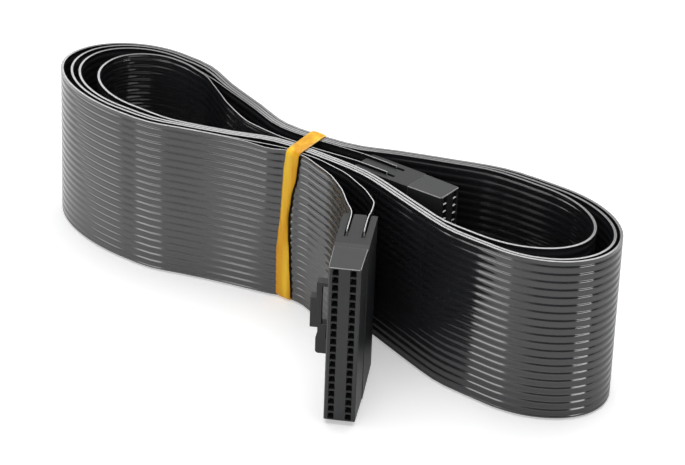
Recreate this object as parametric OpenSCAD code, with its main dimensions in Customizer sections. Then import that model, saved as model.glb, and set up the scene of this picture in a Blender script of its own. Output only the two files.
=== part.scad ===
// Ribbon cable: two flat plies wound together into a flat hank, held at the waist by a rubber band,
// with a 2-row socket connector on each end. Millimetres, +Z up.
// The origin is under the rubber band, which the hank stands on, at the middle of the waist.
// +X is the hank's long direction, and the front connector lies towards -Y.

/* [Ribbon] */
// Number of conductors in each ply
ways = 20; // [6:1:26]
// Spacing of the conductors, and of the contact rows
pitch = 2.54; // [2.2:0.01:3]
// Film past the centre of the outermost conductor, each side
selvage = 2.16; // [1:0.01:4]
// Thickness of one ply
ply_t = 0.45; // [0.25:0.01:0.47]
// Air between two plies that lie on each other
ply_gap = 0.03; // [0.01:0.01:0.04]
// Length of ply that is gripped inside a connector
gripped = 10.8; // [8.8:0.1:12]

/* [Hank] */
// How far the left loop's middle line reaches from the waist
left_reach = 98.4; // [90:0.1:110]
// How far the right loop's middle line reaches from the waist
right_reach = 109.2; // [100:0.1:120]
// How far the left loop bellies out to the front
left_front = 20.4; // [19:0.1:22]
// How far the left loop bellies out to the back
left_back = 25.8; // [25:0.1:27]
// How far the right loop bellies out to the back
right_back = 28.2; // [27:0.1:30]

/* [Rubber band] */
// Width of the band
band_w = 6; // [2:0.1:8]
// Thickness of the band
band_t = 0.8; // [0.4:0.1:2]
// Place of the band along the hank
band_x = 1.7; // [0:0.1:3]

/* [Connector] */
// Distance between the two contact rows
row_gap = 5.08; // [4.6:0.01:5.6]
// Length of the socket block, from its face to the clamp
socket_len = 12.4; // [8:0.1:16]
// Width of the socket block at its face
socket_w = 9.3; // [8.6:0.1:9.8]
// Width of the socket block where it meets the clamp
socket_root_w = 9.9; // [9.3:0.1:10.2]
// Length of the clamp block, from the socket to the tips of its prongs
clamp_len = 20; // [19:0.1:24]
// Width of the clamp block
clamp_w = 10.2; // [9.6:0.1:11]
// Housing past the centre of the outermost contact, each end
end_wall = 1.47; // [1.3:0.01:3]
// Width of a contact window, across the connector
window_w = 1.8; // [1.2:0.05:1.9]
// Height of a contact window
window_h = 2.1; // [1.4:0.05:2.2]
// Depth of the two slots that take the plies
slot_depth = 13.6; // [12:0.1:15]
// Width of the two slots
slot_w = 1.2; // [1.1:0.05:1.4]
// How far the clamp's top lies below the socket's top
clamp_drop = 0.2; // [0.1:0.1:0.6]
// How far the clamp's top dips at the socket
seam_dip = 0.4; // [0.1:0.1:0.6]
// Length of the slope down to that dip
dip_len = 2.6; // [1:0.1:4]
// Rounding of the prong tips
tip_r = 0.6; // [0.2:0.1:0.8]
// Chamfer round the socket's face
face_chamfer = 0.4; // [0.1:0.1:0.6]

/* [Contact] */
// Thickness of the contact's sheet metal
contact_t = 0.2; // [0.1:0.01:0.25]
// Width of a contact
contact_w = 1; // [0.6:0.1:1.2]
// Length of the two leaves that grip the ply
leaf_len = 2; // [1:0.1:4]
// Distance of the contact's springs behind the socket's face
contact_recess = 1; // [0.4:0.1:4]
// Clearance between a contact and the housing
contact_fit = 0.05; // [0.02:0.01:0.1]

/* [Latch] */
// Height of the latch on the side of the clamp
latch_h = 24; // [20:0.1:30]
// Width of the latch, along the connector
latch_w = 3; // [2:0.1:5]
// Distance of the latch's middle from the socket
latch_set = 3; // [3:0.1:8]
// Thickness of the latch's arm
arm_t = 1.5; // [1:0.1:1.8]
// Thickness of the finger pad
pad_t = 2.6; // [1.6:0.1:3]
// Height of the finger pad
pad_h = 10; // [6:0.1:12]
// How far the pad's outer face stands off the clamp
pad_reach = 6.4; // [5.8:0.1:6.6]
// How far the two feet stand off the clamp
foot_reach = 4.6; // [4:0.1:5]
// Height of the lower foot
foot_h = 5.2; // [3:0.1:6]
// Rounding of the lower foot's outer corner
foot_r = 1; // [0.5:0.1:1.5]
// How far the lower foot stands out past the stem above it
foot_lip = 0.5; // [0.2:0.1:1]
// Height of the stem
stem_h = 4.8; // [3:0.1:6]
// Thickness of the stem
stem_t = 2.5; // [2:0.1:3]
// Height of the latch's head, its upper foot
head_h = 1.2; // [0.6:0.1:2]
// Length of bare arm between the finger pad and the head
neck_h = 4; // [1:0.1:5]
// Depth of the pockets that the feet sit in
pocket = 0.4; // [0.2:0.05:0.6]
// Clearance between the feet and their pockets
latch_fit = 0.05; // [0.02:0.01:0.1]

/* [Hidden] */
$fn = 48;

// Heights. The band's underside is at zero and the plies stand inside it.
ribbon_w = (ways - 1) * pitch + 2 * selvage;
ribbon_z = band_t;
mid_z = ribbon_z + ribbon_w / 2;
conn_h = (ways - 1) * pitch + 2 * end_wall;
conn_len = clamp_len + socket_len;
latch_x = clamp_len - latch_set;
shank = ply_t / 2 + contact_t; // half the thickness of a contact's shank
cut = 0.1;

// Where the connectors stand: [x, y, heading] of the middle of the prong tips, seen from above
front_at = [40.6, -23.3, -61.3];
rear_at = [20.8, 4.6, 0];

// Route of the hank, seen from above. Each stop is [x, y, heading of travel], and the outermost
// turn goes clockwise from the front of the waist, round the left loop, the back and the right loop.
outer_turn = [
  [-28, -13.9, 197], [-58, -left_front, 180], [-left_reach, 4, 90], [-71, left_back, 0],
  [-34, 15.3, -17], [2, 8, 6], [34, 18.5, 20],
  [78, right_back, 0], [right_reach, 5, -90], [83, -15.5, 180], [50, -10.7, 163], [6, -3.1, 180]
];
// How much looser than touching each inner turn lies, at each stop: [along travel, inward]
slack = [
  [for (stop = outer_turn) [0, 0]],
  [[0, 0.9], [2, 1.1], [2, 2.1], [0, 0.1], [0, 0.1], [0, 0.1], [0, 0.1],
   [-1, 0.7], [0, 0.8], [0, 0.1], [0, 0.1], [0, 0.1]],
  [[0, 0.9], [2, 1.7], [2.5, 4.1], [0, 0.9], [0, 0.1], [0, 0.1], [0, 0.1],
   [-4, 1.4], [-1, 6.9], [8, 1.6], [0, 0.4], [0, 0.1]],
  [[0, 0.9], [-1, 3.4], [3.5, 10.5], [2, 1.9]]
];
// The plies leave the pack for the connectors: stops of each ply's own middle line
front_outer_stops = [[33.4, -20.7, 139], [24, -13.2, 148], [13, -8.3, 161], [2, -6.1, 180],
                     [-7, -8.3, 195]];
front_inner_stops = [[41.7, -18.8, 119], [37.2, -13.8, 145], [28, -8.9, 156], [17, -5.7, 171],
                     [5, -4.9, 182], [-6, -6.7, 197]];
rear_outer_stops = [[-34, 12.3, -17], [2, 5.2, 6], [12, 6.4, 6]];
rear_inner_stops = [[-46, 13.6, -30], [-30, 4.3, -25], [-13.7, -0.1, -6], [0, -0.1, 2], [12, 0.9, 7]];
// Where the inner ply parts from the outer one, inside the left loop
parting = [-58, 19.4, -13];
// Distance behind the prong tips at which a ply lies straight in its slot
straight_from = 4;
// Points in each stretch between two stops, and the handle that makes a quarter ellipse of it
steps = 9;
handle = 0.5523;

pair_pitch = 2 * (ply_t + ply_gap);
lane = (ply_t + ply_gap) / 2;

function ahead(a) = [cos(a), sin(a)];
function leftward(a) = [-sin(a), cos(a)];
function plan(stop) = [stop.x, stop.y];
function moved(stop, along, left) =
  let (p = plan(stop) + along * ahead(stop.z) + left * leftward(stop.z))
  [p.x, p.y, stop.z];

// One point of the curve between two stops, with the direction to its left
function curve_point(a, b, u) =
  let (
    chord = plan(b) - plan(a),
    start_arm = ahead(a.z) * handle * abs(chord * ahead(a.z)),
    end_arm = ahead(b.z) * handle * abs(chord * ahead(b.z)),
    p0 = plan(a), p1 = p0 + start_arm, p3 = plan(b), p2 = p3 - end_arm,
    v = 1 - u,
    p = v ^ 3 * p0 + 3 * v ^ 2 * u * p1 + 3 * v * u ^ 2 * p2 + u ^ 3 * p3,
    d = v ^ 2 * (p1 - p0) + 2 * v * u * (p2 - p1) + u ^ 2 * (p3 - p2)
  )
  [p, [-d.y, d.x] / norm(d)];
function curve(stops) =
  [for (i = [0 : len(stops) - 2], k = [0 : steps - 1]) curve_point(stops[i], stops[i + 1], k / steps)];
function finish(stops) = curve_point(stops[len(stops) - 2], stops[len(stops) - 1], 1);
function sideways(points, by) = [for (q = points) [q[0] + by * q[1], q[1]]];
function edge(points, by) = [for (q = points) q[0] + by * q[1]];
function backwards(list) = [for (i = [len(list) - 1 : -1 : 0]) list[i]];
function strip(points) = concat(edge(points, ply_t / 2), backwards(edge(points, -ply_t / 2)));

// The pack's middle line: every turn nests inside the one before it, one pair of plies further in
nested_stops = [
  for (turn = [0 : len(slack) - 1], i = [0 : len(slack[turn]) - 1])
    moved(outer_turn[i], slack[turn][i][0], -turn * pair_pitch - slack[turn][i][1])
];
pack_stops = concat(nested_stops, [parting]);
pack = curve(pack_stops);
pack_start = pack_stops[0];
pack_end = parting;

// A connector's slot as two stops, where the ply comes straight and where it ends. Row is 1 or -1.
function slot_stop(at, row, depth) = moved(at, depth, row * row_gap / 2);
function slot_stops(at, row) = [slot_stop(at, row, straight_from), slot_stop(at, row, gripped)];
function turned(stops) = [for (s = backwards(stops)) [s.x, s.y, s.z + 180]];

outer_lead = concat(turned(slot_stops(front_at, -1)), front_outer_stops, [moved(pack_start, 0, lane)]);
inner_lead = concat(turned(slot_stops(front_at, 1)), front_inner_stops, [moved(pack_start, 0, -lane)]);
outer_tail = concat([moved(pack_end, 0, lane)], rear_outer_stops, slot_stops(rear_at, 1));
inner_tail = concat([moved(pack_end, 0, -lane)], rear_inner_stops, slot_stops(rear_at, -1));
outer_line = concat(curve(outer_lead), sideways(pack, lane), curve(outer_tail), [finish(outer_tail)]);
inner_line = concat(curve(inner_lead), sideways(pack, -lane), curve(inner_tail), [finish(inner_tail)]);

// The band lies on the outermost ply, front and back, over the whole of its own width
band_from = band_x - band_w / 2;
band_to = band_x + band_w / 2;
function crossings(points, x) =
  [for (i = [1 : len(points) - 1])
    let (p = points[i - 1], q = points[i])
    if ((p.x - x) * (q.x - x) < 0) p.y + (x - p.x) / (q.x - p.x) * (q.y - p.y)];
outer_strip = strip(outer_line);
waist = concat(crossings(outer_strip, band_from), crossings(outer_strip, band_to),
               [for (p = outer_strip) if (p.x > band_from && p.x < band_to) p.y]);
waist_front = min(waist);
waist_back = max(waist);

// Height of a contact above the connector's middle
function contact_z(i) = (i - (ways - 1) / 2) * pitch;

// Puts a connector's pieces in place. They are drawn with the prong tips at x = 0 and the face at
// x = conn_len, and their height is measured from the connector's middle.
module in_front() {
  translate([front_at.x, front_at.y, mid_z]) rotate(front_at.z) children();
}
module in_rear() {
  // The rear connector is turned over, so that its latch is on the other side
  translate([rear_at.x, rear_at.y, mid_z]) rotate(rear_at.z) rotate([180, 0, 0]) children();
}

module ribbon_outer() {
  color("#2b2b2d") translate([0, 0, ribbon_z]) linear_extrude(ribbon_w) polygon(outer_strip);
}
module ribbon_inner() {
  color("#38383b") translate([0, 0, ribbon_z]) linear_extrude(ribbon_w) polygon(strip(inner_line));
}

module rubber_band() {
  color("#f2b61e")
    translate([band_from, 0, 0]) rotate([90, 0, 90]) linear_extrude(band_w)
      difference() {
        band_outline();
        translate([waist_front, ribbon_z]) square([waist_back - waist_front, ribbon_w]);
      }
}
// Outside of the band, across the hank, with round corners
module band_outline() {
  y0 = waist_front - band_t;
  y1 = waist_back + band_t;
  top = ribbon_w + 2 * band_t;
  translate([y0 + band_t, 0]) square([y1 - y0 - 2 * band_t, top]);
  translate([y0, band_t]) square([y1 - y0, top - 2 * band_t]);
  for (y = [y0 + band_t, y1 - band_t], z = [band_t, top - band_t]) translate([y, z]) circle(band_t);
}

// A way for every contact, from one distance along the connector to another
module contact_ways(from, to, wide, tall) {
  for (row = [-1, 1], i = [0 : ways - 1])
    translate([from, row * row_gap / 2 - wide / 2, contact_z(i) - tall / 2]) cube([to - from, wide, tall]);
}

module socket() {
  half = socket_w / 2;
  root = socket_root_w / 2;
  difference() {
    translate([0, 0, -conn_h / 2]) linear_extrude(conn_h)
      polygon([[clamp_len, -root], [conn_len - face_chamfer, -half], [conn_len, face_chamfer - half],
               [conn_len, half - face_chamfer], [conn_len - face_chamfer, half], [clamp_len, root]]);
    contact_ways(clamp_len - cut, conn_len + cut, window_w, window_h);
  }
}

// One prong of the clamp from above, with round tip corners, from side y0 to side y1
module prong(y0, y1) {
  translate([tip_r, y0]) square([slot_depth - tip_r + cut, y1 - y0]);
  translate([0, y0 + tip_r]) square([tip_r + cut, y1 - y0 - 2 * tip_r]);
  for (y = [y0 + tip_r, y1 - tip_r]) translate([tip_r, y]) circle(tip_r);
}
module clamp() {
  half = clamp_w / 2;
  top = conn_h / 2 - clamp_drop;
  slot_in = (row_gap - slot_w) / 2;
  slot_out = (row_gap + slot_w) / 2;
  difference() {
    intersection() {
      translate([0, 0, -conn_h / 2]) linear_extrude(conn_h) {
        translate([slot_depth, -half]) square([clamp_len - slot_depth, clamp_w]);
        prong(-half, -slot_out);
        prong(-slot_in, slot_in);
        prong(slot_out, half);
      }
      // Side view: the top is lower than the socket's and dips where it meets it
      rotate([90, 0, 0]) translate([0, 0, -half]) linear_extrude(clamp_w)
        polygon([[0, -conn_h / 2], [clamp_len, -conn_h / 2], [clamp_len, top - seam_dip],
                 [clamp_len - dip_len, top], [0, top]]);
    }
    contact_ways(slot_depth - cut, clamp_len + cut, 2 * shank + 2 * contact_fit, contact_w + 2 * contact_fit);
    latch_pockets();
  }
}

// A column of contacts, on row 1 or -1. From above each is a fork with two leaves on the ply, a shank
// and two springs in the socket.
module contacts(row) {
  grip = ply_t / 2;
  spring = window_w / 2 - contact_fit;
  shank_x = gripped + contact_fit;
  root_x = clamp_len + contact_t;
  for (i = [0 : ways - 1])
    translate([0, row * row_gap / 2, contact_z(i) - contact_w / 2]) linear_extrude(contact_w) {
      for (y = [-shank, grip]) translate([gripped - leaf_len, y]) square([leaf_len + 2 * contact_fit, contact_t]);
      translate([shank_x, -shank]) square([root_x - shank_x, 2 * shank]);
      translate([root_x - contact_t, -spring]) square([2 * contact_t, 2 * spring]);
      for (y = [-spring, spring - contact_t])
        translate([root_x, y]) square([conn_len - contact_recess - root_x, contact_t]);
    }
}

// The latch from the connector's end: distance off the clamp's side, and height above its own bottom
module latch_outline() {
  arm_in = foot_reach - arm_t;
  pad_z = latch_h - head_h - neck_h - pad_h;
  seat = latch_fit - pocket;
  translate([seat, 0]) square([foot_reach - foot_r - seat, foot_h]);
  translate([0, foot_r]) square([foot_reach, foot_h - foot_r]);
  translate([foot_reach - foot_r, foot_r]) circle(foot_r);
  translate([foot_reach - foot_lip - stem_t, foot_h - cut]) square([stem_t, stem_h + cut]);
  translate([arm_in, foot_h + stem_h - cut]) square([arm_t, latch_h - foot_h - stem_h]);
  translate([pad_reach - pad_t, pad_z]) square([pad_t, pad_h]);
  translate([seat, latch_h - head_h]) square([foot_reach - seat, head_h]);
}
module latch() {
  translate([latch_x - latch_w / 2, -clamp_w / 2, -latch_h / 2])
    rotate([90, 0, 90]) mirror([1, 0, 0]) linear_extrude(latch_w) latch_outline();
}
// The feet sit in two shallow pockets in the clamp's side
module latch_pockets() {
  for (foot = [[-latch_h / 2, foot_h], [latch_h / 2 - head_h, head_h]])
    translate([latch_x - latch_w / 2 - latch_fit, -clamp_w / 2 - cut, foot[0] - latch_fit])
      cube([latch_w + 2 * latch_fit, pocket + cut, foot[1] + 2 * latch_fit]);
}

module front_socket() { color("#3c3d3f") in_front() socket(); }
module front_clamp() { color("#4a4b4d") in_front() clamp(); }
module front_contacts_outer() { color("#c9b27a") in_front() contacts(-1); }
module front_contacts_inner() { color("#c9b27a") in_front() contacts(1); }
module front_latch() { color("#323335") in_front() latch(); }
module rear_socket() { color("#3c3d3f") in_rear() socket(); }
module rear_clamp() { color("#4a4b4d") in_rear() clamp(); }
module rear_contacts_outer() { color("#c9b27a") in_rear() contacts(-1); }
module rear_contacts_inner() { color("#c9b27a") in_rear() contacts(1); }
module rear_latch() { color("#323335") in_rear() latch(); }

ribbon_outer();
ribbon_inner();
rubber_band();
front_socket();
front_clamp();
front_contacts_outer();
front_contacts_inner();
front_latch();
rear_socket();
rear_clamp();
rear_contacts_outer();
rear_contacts_inner();
rear_latch();
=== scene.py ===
# A ribbon cable: two flat plies of black film wound into a hank, a rubber band round the waist,
# and a two-row socket connector on each end.
import math

import bmesh
import bpy
from mathutils import Matrix, Vector


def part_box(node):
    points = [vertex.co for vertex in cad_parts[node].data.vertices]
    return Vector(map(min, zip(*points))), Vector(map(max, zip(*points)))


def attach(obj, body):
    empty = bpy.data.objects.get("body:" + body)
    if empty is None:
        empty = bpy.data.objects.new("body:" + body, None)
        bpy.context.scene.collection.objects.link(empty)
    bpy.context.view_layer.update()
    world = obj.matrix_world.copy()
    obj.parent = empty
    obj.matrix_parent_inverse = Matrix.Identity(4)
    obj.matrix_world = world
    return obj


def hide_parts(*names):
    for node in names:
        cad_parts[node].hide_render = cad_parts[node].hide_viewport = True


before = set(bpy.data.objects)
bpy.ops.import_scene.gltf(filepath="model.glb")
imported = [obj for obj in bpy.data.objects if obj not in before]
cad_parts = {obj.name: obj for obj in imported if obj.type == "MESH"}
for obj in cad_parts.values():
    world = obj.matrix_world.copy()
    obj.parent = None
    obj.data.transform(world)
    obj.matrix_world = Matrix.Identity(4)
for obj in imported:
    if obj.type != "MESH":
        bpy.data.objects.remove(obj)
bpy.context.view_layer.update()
MM = 0.001

# ---- Camera ----------------------------------------------------------------------------------
# A long lens looks down on the hank from the front right. Its right side is tilted up a little.
camera_at = Vector((361.34, -473.52, 357.6)) * MM
camera_forward = Vector((-0.51213, 0.70489, -0.49076)).normalized()
camera_roll = math.radians(2.16)
level_right = camera_forward.cross(Vector((0, 0, 1))).normalized()
level_up = level_right.cross(camera_forward)
camera_right = level_right * math.cos(camera_roll) + level_up * math.sin(camera_roll)
camera_up = level_up * math.cos(camera_roll) - level_right * math.sin(camera_roll)

camera_data = bpy.data.cameras.new("camera")
camera_data.sensor_width = 36
camera_data.lens = 113.5
camera_data.clip_start = 0.01
camera = bpy.data.objects.new("camera", camera_data)
camera_axes = Matrix((camera_right, camera_up, -camera_forward)).transposed()
camera.matrix_world = Matrix.Translation(camera_at) @ camera_axes.to_4x4()
bpy.context.scene.collection.objects.link(camera)
bpy.context.scene.camera = camera


# ---- The two plies of film -------------------------------------------------------------------
# Each ply is a strip of black polyester film with 20 flat conductors sealed in it. The film lies
# over the conductors in low ribs, and its cut edges are pale. The plies lie on each other in the
# whole pack and part only for the slots of the connectors.
WAYS = 20
PITCH = 2.54 * MM
SELVAGE = 2.16 * MM
FILM_W = (WAYS - 1) * PITCH + 2 * SELVAGE
FILM_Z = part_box("ribbon_outer")[0][2]
PLY_PITCH = 0.48 * MM
RIB_HALF_T = 0.235 * MM
RIB_HALF_W = 0.55 * MM
GROOVE_HALF_T = 0.115 * MM
# A rib falls off at once above and slowly below, so that each throws one thin line of light
SHOULDER = 0.13 * MM
LOW_SHOULDER = 0.45 * MM
# The flat rim along each cut edge. Its pale core reaches further towards the other ply.
EDGE_HALF_T = 0.21 * MM
EDGE_RIM = 0.5 * MM
CORE_OUT = 0.05 * MM
CORE_IN = 0.18 * MM
# Lean of the loops: where it starts along the hank, how far on it is full, and how much it is
LEFT_LEAN = (-60 * MM, 38 * MM, 1.9 * MM)
RIGHT_LEAN = (72 * MM, 37 * MM, 1.2 * MM)
# The top edge of the outer ply's lead stands off the pack just left of the rubber band: how far,
# and its place and reach along the hank in millimetres, as in the route below
BULGE = 1.3 * MM
BULGE_AT = -5.5
BULGE_REACH = 5
CREASE = math.radians(50)
TINY = 0.001 * MM

# The route seen from above, as the solids have it: (x, y, heading) in millimetres and degrees
front_at = (40.6, -23.3, -61.3)
rear_at = (20.8, 4.6, 0)
ROW_GAP = 5.08
STRAIGHT_FROM = 4
GRIPPED = 10.8
# The outermost turn, from the waist round the left loop and the right loop to the waist
outer_turn = [
    (-28, -13.9, 197), (-58, -20.4, 180), (-98.4, 4, 90), (-71, 25.8, 0),
    (-34, 15.3, -17), (2, 8, 6), (34, 18.5, 20),
    (78, 28.2, 0), (109.2, 5, -90), (83, -15.5, 180), (50, -10.7, 163), (6, -3.1, 180),
]
# What each turn gives up against an even winding, at each stop: (along the route, inwards)
slack = [
    [(0, 0)] * 12,
    [(0, 0.9), (2, 1.1), (2, 2.1), (0, 0.1), (0, 0.1), (0, 0.1), (0, 0.1),
     (-1, 0.7), (0, 0.8), (0, 0.1), (0, 0.1), (0, 0.1)],
    [(0, 0.9), (2, 1.7), (2.5, 4.1), (0, 0.9), (0, 0.1), (0, 0.1), (0, 0.1),
     (-4, 1.4), (-1, 6.9), (8, 1.6), (0, 0.4), (0, 0.1)],
    [(0, 0.9), (-1, 3.4), (3.5, 10.5), (2, 1.9)],
]
# Where the two plies part for the rear connector, and the stops of the four ends
parting = (-58, 19.4, -13)
front_outer_stops = [(33.4, -20.7, 139), (24, -13.2, 148), (13, -8.3, 161), (2, -6.1, 180),
                     (-7, -8.3, 195)]
front_inner_stops = [(41.7, -18.8, 119), (37.2, -13.8, 145), (28, -8.9, 156), (17, -5.7, 171),
                     (5, -4.9, 182), (-6, -6.7, 197)]
rear_outer_stops = [(-34, 12.3, -17), (2, 5.2, 6), (12, 6.4, 6)]
rear_inner_stops = [(-46, 13.6, -30), (-30, 4.3, -25), (-13.7, -0.1, -6), (0, -0.1, 2),
                    (12, 0.9, 7)]
# Reach of a curve's handles for a round quarter turn, and the longest steps along it
HANDLE = 0.5523
STEP_TURN = 5
STEP_LENGTH = 7


def moved(stop, along, left):
    """The stop shifted along its heading and to the left of it."""
    x, y, turn = stop
    c, s = math.cos(math.radians(turn)), math.sin(math.radians(turn))
    return (x + along * c - left * s, y + along * s + left * c, turn)


def span(a, b):
    """Points and left-hand normals of the curve from one stop to the next."""
    p0, p3 = Vector(a[:2]), Vector(b[:2])
    d0 = Vector((math.cos(math.radians(a[2])), math.sin(math.radians(a[2]))))
    d3 = Vector((math.cos(math.radians(b[2])), math.sin(math.radians(b[2]))))
    chord = p3 - p0
    p1 = p0 + d0 * HANDLE * abs(chord.dot(d0))
    p2 = p3 - d3 * HANDLE * abs(chord.dot(d3))
    turning = math.degrees(d0.angle(chord) + d3.angle(chord))
    count = max(3, math.ceil(turning / STEP_TURN), math.ceil(chord.length / STEP_LENGTH))
    points = []
    for i in range(count + 1):
        u = i / count
        v = 1 - u
        p = v**3 * p0 + 3 * v * v * u * p1 + 3 * v * u * u * p2 + u**3 * p3
        d = v * v * (p1 - p0) + 2 * v * u * (p2 - p1) + u * u * (p3 - p2)
        points.append((p, Vector((-d.y, d.x)).normalized()))
    return points


def line(stops):
    """Points and normals of the whole curve through a list of stops."""
    points = []
    for a, b in zip(stops, stops[1:]):
        points += span(a, b)[:-1]
    return points + span(stops[-2], stops[-1])[-1:]


def slot_stops(at, row):
    """Two stops down a connector's straight slot. Row is 1 for its left slot, -1 for its right."""
    return [moved(at, depth, row * ROW_GAP / 2) for depth in (STRAIGHT_FROM, GRIPPED)]


def turned(stops):
    """The same stops, walked the other way."""
    return [(x, y, heading + 180) for x, y, heading in reversed(stops)]


lane = PLY_PITCH / MM / 2
pair_pitch = 4 * lane
pack_stops = [moved(outer_turn[i], along, -turn * pair_pitch - inward)
              for turn, row in enumerate(slack) for i, (along, inward) in enumerate(row)]
pack_stops.append(parting)
pack = line(pack_stops)


def whole_line(side, lead, tail):
    """One ply from the front slot through the pack to the rear slot, and how many points lead in.

    Side is 1 for the outer ply and -1 for the inner one.
    """
    start = line(lead + [moved(pack_stops[0], 0, side * lane)])
    middle = [(p + side * lane * n, n) for p, n in pack]
    end = line([moved(pack_stops[-1], 0, side * lane)] + tail)
    return start[:-1] + middle + end[1:], len(start)


def film_section(core):
    """Half of the strip's section, from its lower to its upper edge: (half thickness, height)."""
    points = [(core, 0), (EDGE_HALF_T, 0), (EDGE_HALF_T, EDGE_RIM),
              (GROOVE_HALF_T, EDGE_RIM + SHOULDER)]
    for i in range(WAYS):
        z = SELVAGE + i * PITCH
        points += [(GROOVE_HALF_T, z - RIB_HALF_W - LOW_SHOULDER), (RIB_HALF_T, z - RIB_HALF_W),
                   (RIB_HALF_T, z + RIB_HALF_W), (GROOVE_HALF_T, z + RIB_HALF_W + SHOULDER)]
    return points + [(GROOVE_HALF_T, FILM_W - EDGE_RIM - SHOULDER),
                     (EDGE_HALF_T, FILM_W - EDGE_RIM), (EDGE_HALF_T, FILM_W), (core, FILM_W)]


def lean(p, up):
    """How far the loops stand wider at a height than at the top edge."""
    start, reach, most = LEFT_LEAN
    left = most * min(max((start - p.x) / reach, 0), 1)
    start, reach, most = RIGHT_LEAN
    right = most * min(max((p.x - start) / reach, 0), 1)
    return Vector(((right - left) * (1 - up / FILM_W), 0, 0))


def sweep(bm, first, stations, place):
    """Draws a closed rim of vertices through the stations. Returns its first and its last edges."""
    edges = [bm.edges.new(pair) for pair in zip(first, first[1:] + first[:1])]
    start = list(edges)
    place(first, 0)
    for i in range(1, stations):
        grown = bmesh.ops.extrude_edge_only(bm, edges=edges)["geom"]
        verts = [g for g in grown if isinstance(g, bmesh.types.BMVert)]
        place(verts, i)
        new = set(verts)
        edges = [g for g in grown if isinstance(g, bmesh.types.BMEdge)
                 and g.verts[0] in new and g.verts[1] in new]
    return start, edges


def as_piece(bm, name):
    """Makes the bmesh an object that rides with the cable and takes its finish from the slot."""
    mesh = bpy.data.meshes.new(name)
    bm.to_mesh(mesh)
    bm.free()
    piece = bpy.data.objects.new(name, mesh)
    bpy.context.scene.collection.objects.link(piece)
    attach(piece, "root")
    return piece


def make_film(name, points, lead_count, lead_bulge, cores):
    """One ply. Cores are the pale half widths of its cut edges, to the left and to the right."""
    bm = bmesh.new()
    across = bm.verts.layers.float.new("across")
    height = bm.verts.layers.float.new("height")
    first = []
    for t, z in film_section(cores[0]) + [(-t, z) for t, z in reversed(film_section(cores[1]))]:
        v = bm.verts.new()
        v[across] = t
        v[height] = z
        first.append(v)

    def place(verts, i):
        p, n = points[i]
        at = Vector((p.x, p.y, 0)) * MM
        out = Vector((n.x, n.y, 0))
        bulge = 0
        if i < lead_count:
            bulge = lead_bulge * math.exp(-(((p.x - BULGE_AT) / BULGE_REACH) ** 2))
        for v in verts:
            up = v[height]
            off = v[across] + bulge * (up / FILM_W) ** 3
            v.co = at + out * off + Vector((0, 0, FILM_Z + up)) + lean(at, up)

    for rim in sweep(bm, first, len(points), place):
        bmesh.ops.contextual_create(bm, geom=rim)
    bmesh.ops.recalc_face_normals(bm, faces=bm.faces)
    for face in bm.faces:
        face.smooth = True
        level = abs(face.normal.z) > 0.9
        core = level and all(-cores[1] - TINY < v[across] < cores[0] + TINY for v in face.verts)
        cut_end = len(face.verts) > 4
        face.material_index = 1 if core or cut_end else 0
    for edge in bm.edges:
        lengthwise = abs(edge.verts[0][height] - edge.verts[1][height]) < TINY
        if lengthwise and len(edge.link_faces) == 2:
            one, other = (face.normal for face in edge.link_faces)
            edge.smooth = one.angle(other, 0) < CREASE
    piece = as_piece(bm, name)
    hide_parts("ribbon_" + name.split("_")[0])
    return piece


outer_line, outer_lead = whole_line(1, turned(slot_stops(front_at, -1)) + front_outer_stops,
                                    rear_outer_stops + slot_stops(rear_at, 1))
inner_line, inner_lead = whole_line(-1, turned(slot_stops(front_at, 1)) + front_inner_stops,
                                    rear_inner_stops + slot_stops(rear_at, -1))
outer_ply = make_film("outer_ply", outer_line, outer_lead, BULGE, (CORE_OUT, CORE_IN))
inner_ply = make_film("inner_ply", inner_line, inner_lead, 0, (CORE_IN, CORE_OUT))


class Node:
    """A socket that takes part in Python arithmetic, each sign adding a Math node."""

    def __init__(self, tree, socket=None):
        self.tree = tree
        self.socket = socket

    def add(self, kind, settings=(), **inputs):
        """A new node. Its sockets are named, or numbered i0, i1 and so on where names repeat."""
        node = self.tree.nodes.new(kind)
        for key, value in dict(settings).items():
            setattr(node, key, value)
        for key, value in inputs.items():
            numbered = key[0] == "i" and key[1:].isdigit()
            socket = node.inputs[int(key[1:]) if numbered else key.replace("_", " ")]
            if isinstance(value, Node):
                self.tree.links.new(value.socket, socket)
            else:
                socket.default_value = value
        return node

    def out(self, node, name=0):
        return Node(self.tree, node.outputs[name])

    def math(self, operation, *values):
        inputs = {f"i{i}": v for i, v in enumerate(values)}
        return self.out(self.add("ShaderNodeMath", {"operation": operation}, **inputs))

    def __add__(self, other):
        return self.math("ADD", self, other)

    __radd__ = __add__

    def __mul__(self, other):
        return self.math("MULTIPLY", self, other)

    __rmul__ = __mul__

    def __sub__(self, other):
        return self.math("SUBTRACT", self, other)

    def __rsub__(self, other):
        return self.math("SUBTRACT", other, self)

    def band(self, low, high):
        """0 below the low value, 1 above the high one, smooth between."""
        node = self.add("ShaderNodeMapRange", {"interpolation_type": "SMOOTHSTEP"}, Value=self,
                        From_Min=low, From_Max=high)
        return self.out(node)

    def noise(self, vector, scale, detail=2, stretch=(1, 1, 1)):
        mapped = self.add("ShaderNodeMapping", Vector=vector, Scale=stretch)
        node = self.add("ShaderNodeTexNoise", Vector=self.out(mapped), Scale=scale, Detail=detail)
        return self.out(node)

    def along(self, vector, axis):
        """One coordinate of a vector."""
        return self.out(self.add("ShaderNodeSeparateXYZ", Vector=vector), axis)

    def mix(self, factor, a, b):
        node = self.add("ShaderNodeMix", {"data_type": "RGBA"}, i0=factor, i6=a, i7=b)
        return self.out(node, 2)


def new_material(name):
    """A material with its shader, the start of its maths, and the place on the object."""
    material = bpy.data.materials.new(name)
    material.use_nodes = True
    tree = material.node_tree
    shader = next(n for n in tree.nodes if n.type == "BSDF_PRINCIPLED")
    maths = Node(tree)
    place = maths.out(maths.add("ShaderNodeTexCoord"), "Object")
    return material, shader, maths, place


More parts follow.
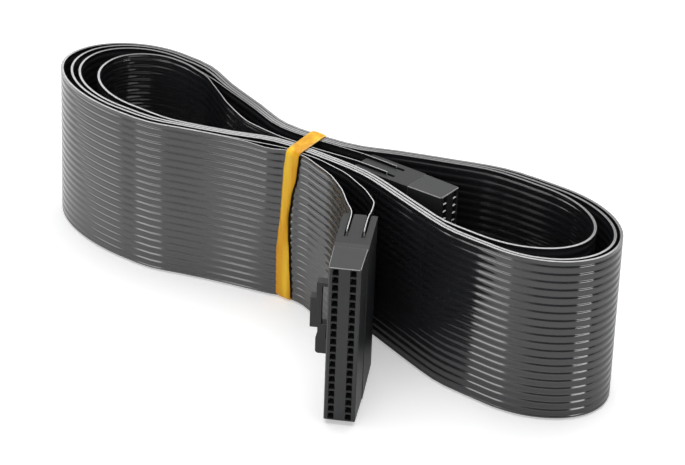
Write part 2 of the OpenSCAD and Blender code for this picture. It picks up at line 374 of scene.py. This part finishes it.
def link(value, shader, name):
    """Feeds one of the shader's sockets."""
    shader.id_data.links.new(value.socket, shader.inputs[name])


film, shader, maths, place = new_material("black_film")
film_black = (0.0125, 0.013, 0.0145, 1)
film_dusty = (0.018, 0.0185, 0.021, 1)
film_speck = (0.06, 0.06, 0.06, 1)
cloud = maths.noise(place, 35, 3)
dust = maths.noise(place, 1500, 0).band(0.85, 0.87)
black = maths.mix(cloud.band(0.4, 0.7), film_black, film_dusty)
link(maths.mix(dust, black, film_speck), shader, "Base Color")
link(0.085 + 0.05 * cloud, shader, "Roughness")
shader.inputs["IOR"].default_value = 1.8
wave = maths.noise(place, 22, 1, (1, 1, 0.35))
bump = maths.add("ShaderNodeBump", Height=wave, Strength=0.25, Distance=0.4 * MM)
link(maths.out(bump), shader, "Normal")

film_edge, shader, maths, place = new_material("cut_film_edge")
grain = maths.noise(place, 900, 2)
# The pale cut edges are painted darker towards the back: painted shade
pale_edge = maths.mix(grain, (0.64, 0.64, 0.64, 1), (0.84, 0.84, 0.84, 1))
shaded_edge = maths.mix(grain, (0.18, 0.18, 0.18, 1), (0.38, 0.38, 0.38, 1))
towards_back = maths.along(place, "Y").band(-2 * MM, 14 * MM)
link(maths.mix(towards_back, pale_edge, shaded_edge), shader, "Base Color")
shader.inputs["Roughness"].default_value = 0.5
for piece in (outer_ply, inner_ply):
    piece.data.materials.append(film)
    piece.data.materials.append(film_edge)


# ---- Rubber band -----------------------------------------------------------------------------
# A flat yellow rubber band, stretched round the waist from under the hank. Its front strand has
# rolled up in the middle, where it is narrow and thick. It lies flat again at the top and foot.
BAND_W = 6 * MM
BAND_T = 0.8 * MM
BAND_BEND = 1.3 * MM
BEND_STEPS = 5
ROLL_UP = 1.44
band_low, band_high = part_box("rubber_band")
front, back = band_low[1] + BAND_T, band_high[1] - BAND_T
foot, top = band_low[2] + BAND_T, band_high[2] - BAND_T
# The four strands from the front's foot round by the top. Each has rows along its length: share of
# the length, place of the strand's middle along the hank, and width, the last two in millimetres.
front_strand = [(0, -0.3, 6), (0.3, -0.7, 5.2), (0.43, -0.6, 4), (0.56, -0.2, 3), (0.7, 0.4, 3.6),
                (0.88, 1.5, 5.2), (1, 2.2, 5.1)]
top_strand = [(0, 2.2, 5.1), (1, 0.8, 5.5)]
back_strand = [(0, 0.8, 5.5), (1, 0.25, 5.75)]
foot_strand = [(0, 0.25, 5.75), (1, -0.3, 6)]
# Where each strand starts, the way out of the hank there, its rows and how many stations it gets
strands = [
    (Vector((0, front, foot)), Vector((0, -1, 0)), front_strand, 36),
    (Vector((0, front, top)), Vector((0, 0, 1)), top_strand, 12),
    (Vector((0, back, top)), Vector((0, 1, 0)), back_strand, 24),
    (Vector((0, back, foot)), Vector((0, 0, -1)), foot_strand, 12),
]
# The band's section, flat on the hank and softly creased outside: shares of width and thickness
band_section = [(-0.5, 0.36), (-0.46, 0.08), (-0.38, 0), (0, 0), (0.38, 0), (0.46, 0.08),
                (0.5, 0.36), (0.49, 0.56), (0.43, 0.78), (0.3, 1), (0.12, 1.06), (0, 0.94),
                (-0.14, 1.06), (-0.3, 1), (-0.42, 0.78), (-0.49, 0.56)]


def strand_at(rows, share):
    """Middle and width of a strand. The rolled front one is eased from each row to the next."""
    for (s0, x0, w0), (s1, x1, w1) in zip(rows, rows[1:]):
        if share <= s1:
            t = (share - s0) / (s1 - s0)
            if rows is front_strand:
                t = t * t * (3 - 2 * t)
            return (x0 + (x1 - x0) * t) * MM, (w0 + (w1 - w0) * t) * MM


def band_stations():
    """Round the band's inner face: (point, direction out of the hank, middle along it, width)."""
    stations = []
    for (start, out, rows, count), (end, turn, _, _) in zip(strands, strands[1:] + strands[:1]):
        step = (end - start).normalized()
        low, high = start + step * BAND_BEND, end - step * BAND_BEND
        for i in range(count):
            share = i / (count - 1)
            middle, width = strand_at(rows, share)
            stations.append((low.lerp(high, share), out, middle, width))
        for i in range(1, BEND_STEPS):
            a = math.radians(90 * i / BEND_STEPS)
            bent = out * math.cos(a) + turn * math.sin(a)
            stations.append((high + (bent - out) * BAND_BEND, bent, middle, width))
    return stations


bm = bmesh.new()
wide = bm.verts.layers.float.new("wide")
thick = bm.verts.layers.float.new("thick")
rim = []
for across, outwards in band_section:
    corner = bm.verts.new()
    corner[wide] = across
    corner[thick] = outwards
    rim.append(corner)
stations = band_stations()


def place_rim(verts, i):
    """Sets one rim of the band at its station, thicker where the band has rolled up."""
    point, out, middle, width = stations[i]
    rolled = BAND_T * (1 + ROLL_UP * (BAND_W - width) / BAND_W)
    for v in verts:
        v.co = point + Vector((middle + v[wide] * width, 0, 0)) + out * v[thick] * rolled


first_edges, last_edges = sweep(bm, rim, len(stations), place_rim)
bmesh.ops.bridge_loops(bm, edges=first_edges + last_edges)
bmesh.ops.recalc_face_normals(bm, faces=bm.faces)
for face in bm.faces:
    face.smooth = True
waist_band = as_piece(bm, "waist_band")
finish = waist_band.modifiers.new("smooth", "SUBSURF")
finish.levels = 1
finish.render_levels = 1
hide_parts("rubber_band")

rubber, shader, maths, place = new_material("yellow_rubber")
rubber_orange = (0.74, 0.33, 0.002, 1)
rubber_yellow = (0.94, 0.58, 0.03, 1)
streak = maths.noise(place, 260, 3, (1, 1, 0.12))
link(maths.mix(streak.band(0.35, 0.7), rubber_orange, rubber_yellow), shader, "Base Color")
link(0.38 + 0.15 * streak, shader, "Roughness")
shader.inputs["IOR"].default_value = 1.35
bump = maths.add("ShaderNodeBump", Height=streak, Strength=0.3, Distance=0.15 * MM)
link(maths.out(bump), shader, "Normal")
waist_band.data.materials.append(rubber)


# ---- Housings of the connectors --------------------------------------------------------------
# Each connector is two blocks of charcoal plastic: the socket with its windows, and the clamp
# whose slots grip the plies. Both are moulded, with broken edges and a sloped sill in each window.
WINDOW_W = 1.8 * MM
SILL = 0.28 * MM
WELD = 0.002 * MM
NEAR = 0.01 * MM
# Width of the broken edges, and the shortest edge that gets one: a socket's windows stay sharp
SOCKET_ROUND, SOCKET_SHORTEST = 0.22 * MM, 2.2 * MM
CLAMP_ROUND, CLAMP_SHORTEST = 0.18 * MM, 0.3 * MM


def slope_sills(bm, turn):
    """Lowers the front edge of every window's floor, after cuts that keep all the faces flat."""
    facing = Vector((math.cos(turn), math.sin(turn), 0))
    beside = Vector((-facing.y, facing.x, 0))
    mouth = max(v.co.dot(facing) for v in bm.verts)

    def cut(normal, distance):
        bmesh.ops.bisect_plane(bm, geom=bm.verts[:] + bm.edges[:] + bm.faces[:],
                               plane_co=normal * distance, plane_no=normal, dist=WELD)

    def sill_corners():
        sills = [e for e in bm.edges if abs(e.calc_length() - WINDOW_W) < NEAR
                 and all(v.co.dot(facing) > mouth - NEAR for v in e.verts)
                 and max(f.normal.z for f in e.link_faces) > 0.9]
        return list({v for e in sills for v in e.verts})

    def sides():
        return [v.co.dot(beside) for v in sill_corners()]

    cut(facing, mouth - SILL)
    for column_side in sorted({round(side, 5) for side in sides()}):
        cut(beside, min(sides(), key=lambda side: abs(side - column_side)))
    bmesh.ops.translate(bm, verts=sill_corners(), vec=(0, 0, -SILL))


def broken_edges(node, width, shortest):
    """A copy of a solid, joined up, with a small round on each outward edge that is long enough."""
    bm = bmesh.new()
    bm.from_mesh(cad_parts[node].data)
    bmesh.ops.remove_doubles(bm, verts=bm.verts, dist=WELD)
    bmesh.ops.dissolve_limit(bm, angle_limit=math.radians(1), verts=bm.verts, edges=bm.edges)
    sharp = [e for e in bm.edges if len(e.link_faces) == 2 and e.calc_length() > shortest
             and e.calc_face_angle_signed(0) > CREASE]
    rounds = bmesh.ops.bevel(bm, geom=sharp, offset=width, affect="EDGES", segments=2, profile=0.5,
                             material=-1, clamp_overlap=True)["faces"]
    # The rounds take the second slot: a pale painted highlight along each broken edge
    for face in rounds:
        face.material_index = 1
    if node.endswith("socket"):
        heading = (front_at if node.startswith("front") else rear_at)[2]
        slope_sills(bm, math.radians(heading))
    piece = as_piece(bm, node + "_body")
    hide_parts(node)
    return piece


def moulded_plastic(name, dark, light, gloss):
    """Plastic between two greys, in a fine moulded grain. Gloss is its refractive index."""
    material, shader, maths, place = new_material(name)
    shader.inputs["IOR"].default_value = gloss
    speckle = maths.noise(place, 2600, 2)
    tone = maths.noise(place, 120, 2)
    link(maths.mix(tone, (*dark, 1), (*light, 1)), shader, "Base Color")
    link(0.26 + 0.2 * speckle, shader, "Roughness")
    bump = maths.add("ShaderNodeBump", Height=speckle, Strength=0.25, Distance=0.05 * MM)
    link(maths.out(bump), shader, "Normal")
    return material


socket_plastic = moulded_plastic("socket_charcoal", (0.021, 0.022, 0.023),
                                 (0.029, 0.030, 0.031), 1.44)
# Painted highlight: the broken edges of housings and latches are painted far paler than their
# plastic
edge_highlight_plastic = moulded_plastic("painted_edge_highlight", (0.20, 0.20, 0.20), (0.34, 0.34, 0.34), 1.5)
clamp_plastic = moulded_plastic("clamp_charcoal", (0.013, 0.014, 0.015),
                                (0.020, 0.021, 0.022), 1.39)
for end in ("front", "rear"):
    socket = broken_edges(end + "_socket", SOCKET_ROUND, SOCKET_SHORTEST)
    clamp = broken_edges(end + "_clamp", CLAMP_ROUND, CLAMP_SHORTEST)
    for piece, plastic in ((socket, socket_plastic), (clamp, clamp_plastic)):
        piece.data.materials.append(plastic)
        piece.data.materials.append(edge_highlight_plastic)


# ---- Latches ---------------------------------------------------------------------------------
# A sprung plastic latch on the side of each clamp: two feet, an arm that stands off like the
# handle of a cup, and a thick finger pad.
LATCH_ROUND, LATCH_SHORTEST = 0.2 * MM, 0.3 * MM
latch_plastic = moulded_plastic("latch_charcoal", (0.012, 0.012, 0.013),
                                (0.020, 0.020, 0.021), 1.45)
for end in ("front", "rear"):
    latch = broken_edges(end + "_latch", LATCH_ROUND, LATCH_SHORTEST)
    latch.data.materials.append(latch_plastic)
    latch.data.materials.append(edge_highlight_plastic)


# ---- Contacts --------------------------------------------------------------------------------
# Forty plated sheet-metal springs in each connector, a column of twenty for each ply. They sit in
# ways cut through the clamp and the socket. Their metal is painted nearly black: painted shade that
# keeps them hardly seen in the windows.
plated, shader, maths, place = new_material("plated_metal_in_painted_shade")
metal_mottle = maths.noise(place, 400, 2)
# Painted shade: the plated metal is given a near-black colour
shaded_metal_dark = (0.03, 0.029, 0.026, 1)
shaded_metal_light = (0.07, 0.067, 0.06, 1)
link(maths.mix(metal_mottle, shaded_metal_dark, shaded_metal_light), shader, "Base Color")
link(0.45 + 0.2 * metal_mottle, shader, "Roughness")
shader.inputs["Metallic"].default_value = 1
for end in ("front", "rear"):
    for ply in ("outer", "inner"):
        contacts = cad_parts[f"{end}_contacts_{ply}"]
        contacts.data.materials.clear()
        contacts.data.materials.append(plated)


# ---- Table and light -------------------------------------------------------------------------
# A white table in a dim room, with a big soft panel above it and a fill from the front. Strips of
# light stand round the hank, and only gloss picks them up.
TABLE_R = 2
STRIPS_OFF = 1.1
bm = bmesh.new()
bmesh.ops.create_circle(bm, cap_ends=True, segments=96, radius=TABLE_R)
mesh = bpy.data.meshes.new("table")
bm.to_mesh(mesh)
bm.free()
table = bpy.data.objects.new("table", mesh)
bpy.context.scene.collection.objects.link(table)


def stage_tree(tree):
    """Clears a stage's node tree. Returns its maths and what tells camera, gloss and glass rays."""
    tree.nodes.clear()
    maths = Node(tree)
    rays = maths.add("ShaderNodeLightPath")
    kinds = ("Is Camera Ray", "Is Glossy Ray", "Is Transmission Ray")
    return maths, [maths.out(rays, kind) for kind in kinds]


white = bpy.data.materials.new("white_table")
white.use_nodes = True
maths, (camera_ray, glossy_ray, through_ray) = stage_tree(white.node_tree)
where = maths.out(maths.add("ShaderNodeTexCoord"), "Object")
along = maths.along(where, "X")
# Gloss sees a dim table, with a painted pool of light close to the left loop and a painted shadow
# close to the right one and further right
close = maths.along(where, "Y").band(-75 * MM, -25 * MM)
right_half = along.band(-20 * MM, 40 * MM)
far_right = along.band(65 * MM, 105 * MM)
# Painted light and shadow in the table's glow, seen only in gloss
painted_light_and_shadow = close * (0.18 - 0.38 * right_half) - 0.18 * far_right
floor_seen = maths.math("MAXIMUM", 0.19 + painted_light_and_shadow, 0.02)
direct = maths.math("MAXIMUM", camera_ray, through_ray)
seen = maths.math("MAXIMUM", direct * 0.36, glossy_ray * floor_seen)
paint = maths.out(maths.add("ShaderNodeBsdfDiffuse", Color=(0.84, 0.84, 0.84, 1)))
glow = maths.out(maths.add("ShaderNodeEmission", Strength=seen))
both = maths.add("ShaderNodeAddShader", i0=paint, i1=glow)
maths.add("ShaderNodeOutputMaterial", Surface=maths.out(both))
table.data.materials.append(white)

world = bpy.data.worlds.new("room")
bpy.context.scene.world = world
world.use_nodes = True
maths, (camera_ray, glossy_ray, through_ray) = stage_tree(world.node_tree)
dim = maths.out(maths.add("ShaderNodeBackground", Color=(0.5, 0.5, 0.52, 1), Strength=0.4))
towards = maths.out(maths.add("ShaderNodeTexCoord"), "Generated")
# Gloss sees a wall that is brighter at the back and dark towards the right
wall = maths.along(towards, "Y").band(0.1, 0.7)
corner = maths.along(towards, "X").band(0, 0.35)
direct = maths.math("MAXIMUM", camera_ray, through_ray)
white_seen = maths.math("MAXIMUM", direct, glossy_ray * (0.75 + 0.15 * wall - 0.6 * corner))
bright = maths.out(maths.add("ShaderNodeBackground", Color=(1, 1, 1, 1), Strength=white_seen))
seen = maths.math("MAXIMUM", direct, glossy_ray)
blend = maths.add("ShaderNodeMixShader", i0=seen, i1=dim, i2=bright)
maths.add("ShaderNodeOutputWorld", Surface=maths.out(blend))


def panel(name, azimuth, elevation, distance, width, height, radiance):
    """A soft panel that faces the hank. Azimuth is from +X towards +Y, sizes are in metres."""
    data = bpy.data.lights.new(name, "AREA")
    data.shape = "RECTANGLE"
    data.size = width
    data.size_y = height
    data.energy = radiance * math.pi * width * height
    lamp = bpy.data.objects.new(name, data)
    a, e = math.radians(azimuth), math.radians(elevation)
    away = Vector((math.cos(e) * math.cos(a), math.cos(e) * math.sin(a), math.sin(e)))
    lamp.location = away * distance
    lamp.rotation_euler = away.to_track_quat("Z", "Y").to_euler()
    lamp.visible_camera = False
    bpy.context.scene.collection.objects.link(lamp)
    return lamp


panel("above", 120, 80, 1.3, 1.5, 1.5, 2.8)
panel("front_fill", -75, 22, 1.6, 1.2, 0.8, 2.6).visible_glossy = False
# The strips: azimuth and elevation in degrees, width and height in metres, and radiance
for name, azimuth, elevation, width, height, radiance in (
        ("left_strip", -107.5, 4, 0.48, 0.22, 3.6), ("right_strip", -8, 4, 0.42, 0.16, 5.5),
        ("far_left_strip", -155, 3, 1.15, 0.26, 2.6), ("far_right_strip", 40, 3, 1, 0.11, 0.4),
        ("back_strip", 60, 31, 0.9, 0.34, 15)):
    panel(name, azimuth, elevation, STRIPS_OFF, width, height, radiance).visible_diffuse = False

bpy.context.scene.view_settings.view_transform = "Standard"
